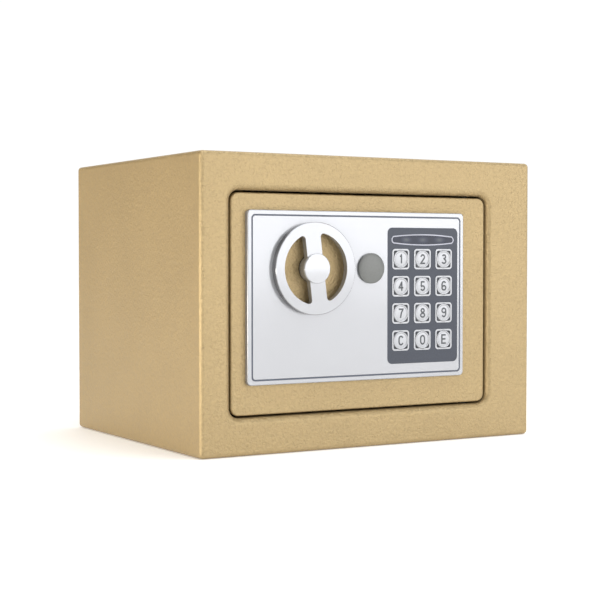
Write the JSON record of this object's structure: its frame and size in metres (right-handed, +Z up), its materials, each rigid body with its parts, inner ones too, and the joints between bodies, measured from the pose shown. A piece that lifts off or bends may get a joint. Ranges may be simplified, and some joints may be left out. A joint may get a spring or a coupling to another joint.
{
  "type": "room safe",
  "caption": "Small electronic room safe with a hinged door, keypad, rotary bolt knob, capped key lock and two live bolts, for bolting to a shelf or wall.",
  "frame": {"origin": "centre of the cabinet's base face", "axes": "+X to the right seen from the front, +Y to the back, +Z up; the door faces -Y"},
  "size_m": [0.23, 0.1828, 0.17],
  "materials": {
    "gold_paint": "fine hammered metallic gold coat",
    "silver_panel": "smooth satin silver",
    "keypad_grey": "dark grey overlay",
    "key_silver": "satin silver",
    "cap_grey": "mid grey moulded",
    "lens": "smoked lens",
    "led_plastic": "clear moulded",
    "rubber_grey": "silicone",
    "board_green": "solder mask",
    "black_plastic": "fine moulded",
    "case_black": "black powder coat",
    "zinc_steel": "zinc plated",
    "black_steel": "black oxide",
    "bolt_chrome": "polished plating",
    "lock_brass": "turned",
    "copper_coil": "enamelled winding",
    "cell_label": "plain sleeve",
    "felt": "needle felt",
    "red_plastic": "moulded"
  },
  "bodies": {
    "cabinet": {"cabinet_wrap": "gold_paint", "front_frame": "gold_paint", "back_panel": "gold_paint", "floor_mat": "felt"},
    "door": {"door_plate": "gold_paint", "hinge_blocks": "gold_paint", "hinge_pins": "black_steel", "fascia": "silver_panel", "keypad_bezel": "keypad_grey", "key_frames": "key_silver", "led_window": "lens", "leds": "led_plastic", "keypad_mat": "rubber_grey", "control_board": "board_green", "board_chips": "black_plastic", "buzzer": "black_plastic", "lock_cover": "case_black", "cover_pillars": "zinc_steel", "cover_screws": "zinc_steel", "battery_tray": "black_plastic", "battery_cells": "cell_label", "battery_contacts": "zinc_steel", "solenoid_frame": "zinc_steel", "solenoid_coil": "copper_coil", "solenoid_spring": "zinc_steel", "bolt_guides": "zinc_steel", "guide_studs": "zinc_steel", "lock_body": "zinc_steel", "lock_nut": "zinc_steel", "spindle_bush": "black_plastic", "fascia_screws": "zinc_steel", "wire_loom": "red_plastic"},
    "knob": {"knob": "silver_panel", "knob_spindle": "zinc_steel", "drive_cam": "zinc_steel", "cam_screw": "zinc_steel"},
    "bolts": {"bolt_carriage": "zinc_steel", "bolt_upper": "bolt_chrome", "bolt_lower": "bolt_chrome"},
    "lock_plug": {"lock_plug": "lock_brass", "lock_cam": "zinc_steel"},
    "lock_cap": {"lock_cap": "cap_grey"},
    "reset_button": {"reset_button": "red_plastic"},
    "battery_lid": {"battery_lid": "black_plastic"},
    "plunger": {"solenoid_plunger": "zinc_steel"},
    "key_1": {"key_1": "key_silver"},
    "key_2": {"key_2": "key_silver"},
    "key_3": {"key_3": "key_silver"},
    "key_4": {"key_4": "key_silver"},
    "key_5": {"key_5": "key_silver"},
    "key_6": {"key_6": "key_silver"},
    "key_7": {"key_7": "key_silver"},
    "key_8": {"key_8": "key_silver"},
    "key_9": {"key_9": "key_silver"},
    "key_c": {"key_c": "key_silver"},
    "key_0": {"key_0": "key_silver"},
    "key_e": {"key_e": "key_silver"}
  },
  "joints": [
    {"name": "door_hinge", "type": "hinge", "parent": "cabinet", "child": "door", "pos_m": [0.06915, -0.081, 0.08495], "axis": [0, 0, 1], "range_deg": [0, 110]},
    {"name": "knob_turn", "type": "hinge", "parent": "door", "child": "knob", "pos_m": [-0.04375, -0.0898, 0.1048], "axis": [0, -1, 0], "range_deg": [0, 70]},
    {"name": "bolt_throw", "type": "slide", "parent": "door", "child": "bolts", "axis": [-1, 0, 0], "range_m": [0, 0.01377]},
    {"name": "lock_turn", "type": "hinge", "parent": "door", "child": "lock_plug", "pos_m": [-0.0044, -0.0898, 0.1048], "axis": [0, 1, 0], "range_deg": [0, 90]},
    {"name": "cap_pull", "type": "slide", "parent": "door", "child": "lock_cap", "axis": [0, -1, 0], "range_m": [0, 0.025]},
    {"name": "reset_press", "type": "slide", "parent": "door", "child": "reset_button", "axis": [0, -1, 0], "range_m": [0, 0.0012], "stiffness_N_per_m": 600},
    {"name": "battery_lid_pull", "type": "slide", "parent": "door", "child": "battery_lid", "axis": [0, 1, 0], "range_m": [0, 0.02]},
    {"name": "plunger_lift", "type": "slide", "parent": "door", "child": "plunger", "axis": [0, 0, 1], "range_m": [0, 0.005], "deforming": ["solenoid_spring"]},
    {"name": "key_1_press", "type": "slide", "parent": "door", "child": "key_1", "axis": [0, 1, 0], "range_m": [0, 0.0008], "stiffness_N_per_m": 800},
    {"name": "key_2_press", "type": "slide", "parent": "door", "child": "key_2", "axis": [0, 1, 0], "range_m": [0, 0.0008], "stiffness_N_per_m": 800},
    {"name": "key_3_press", "type": "slide", "parent": "door", "child": "key_3", "axis": [0, 1, 0], "range_m": [0, 0.0008], "stiffness_N_per_m": 800},
    {"name": "key_4_press", "type": "slide", "parent": "door", "child": "key_4", "axis": [0, 1, 0], "range_m": [0, 0.0008], "stiffness_N_per_m": 800},
    {"name": "key_5_press", "type": "slide", "parent": "door", "child": "key_5", "axis": [0, 1, 0], "range_m": [0, 0.0008], "stiffness_N_per_m": 800},
    {"name": "key_6_press", "type": "slide", "parent": "door", "child": "key_6", "axis": [0, 1, 0], "range_m": [0, 0.0008], "stiffness_N_per_m": 800},
    {"name": "key_7_press", "type": "slide", "parent": "door", "child": "key_7", "axis": [0, 1, 0], "range_m": [0, 0.0008], "stiffness_N_per_m": 800},
    {"name": "key_8_press", "type": "slide", "parent": "door", "child": "key_8", "axis": [0, 1, 0], "range_m": [0, 0.0008], "stiffness_N_per_m": 800},
    {"name": "key_9_press", "type": "slide", "parent": "door", "child": "key_9", "axis": [0, 1, 0], "range_m": [0, 0.0008], "stiffness_N_per_m": 800},
    {"name": "key_c_press", "type": "slide", "parent": "door", "child": "key_c", "axis": [0, 1, 0], "range_m": [0, 0.0008], "stiffness_N_per_m": 800},
    {"name": "key_0_press", "type": "slide", "parent": "door", "child": "key_0", "axis": [0, 1, 0], "range_m": [0, 0.0008], "stiffness_N_per_m": 800},
    {"name": "key_e_press", "type": "slide", "parent": "door", "child": "key_e", "axis": [0, 1, 0], "range_m": [0, 0.0008], "stiffness_N_per_m": 800}
  ],
  "couplings": [
    {"joint": "bolt_throw", "follows": "knob_turn", "m_per_rad": 0.011267}
  ]
}
